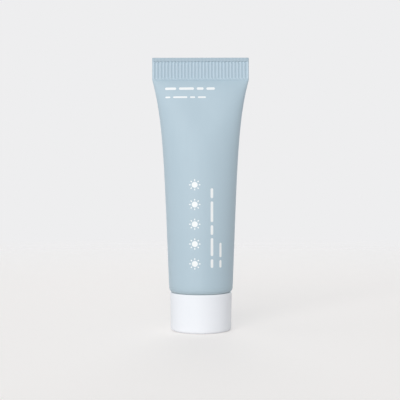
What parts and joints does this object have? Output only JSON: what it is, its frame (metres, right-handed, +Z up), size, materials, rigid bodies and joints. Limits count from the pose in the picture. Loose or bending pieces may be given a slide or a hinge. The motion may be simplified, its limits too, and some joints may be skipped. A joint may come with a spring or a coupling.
{
  "type": "squeeze tube of sun cream",
  "caption": "Small plastic squeeze tube of sun cream with a flat ribbed seal at its tail, standing on its screw cap; the tube unscrews and lifts out of the cap.",
  "frame": {"origin": "centre of the cap's closed end, on the surface that the tube stands on", "axes": "+Z up along the thread's axis from the cap to the tube's tail, -Y towards the front face, +X to its right as seen from the front"},
  "size_m": [0.029, 0.019, 0.0812],
  "materials": {
    "white_plastic": "satin",
    "liner_foam": "matte",
    "head_plastic": "satin",
    "sleeve_plastic": "satin",
    "seal_foil": "satin",
    "cream": "satin"
  },
  "bodies": {
    "cap": {"screw_cap": "white_plastic"},
    "liner": {"cap_liner": "liner_foam"},
    "tube": {"tube_sleeve": "sleeve_plastic", "tube_head": "head_plastic", "foil_seal": "seal_foil", "cream_fill": "cream"}
  },
  "joints": [
    {"name": "tube_unscrew", "type": "hinge", "parent": "cap", "child": "liner", "pos_m": [0, 0, 0], "axis": [0, 0, 1], "range_deg": [0, 1080]},
    {"name": "tube_lift", "type": "slide", "parent": "liner", "child": "tube", "axis": [0, 0, 1], "range_m": [0, 0.009]}
  ],
  "couplings": [
    {"joint": "tube_lift", "follows": "tube_unscrew", "m_per_rad": 0.00047746}
  ]
}
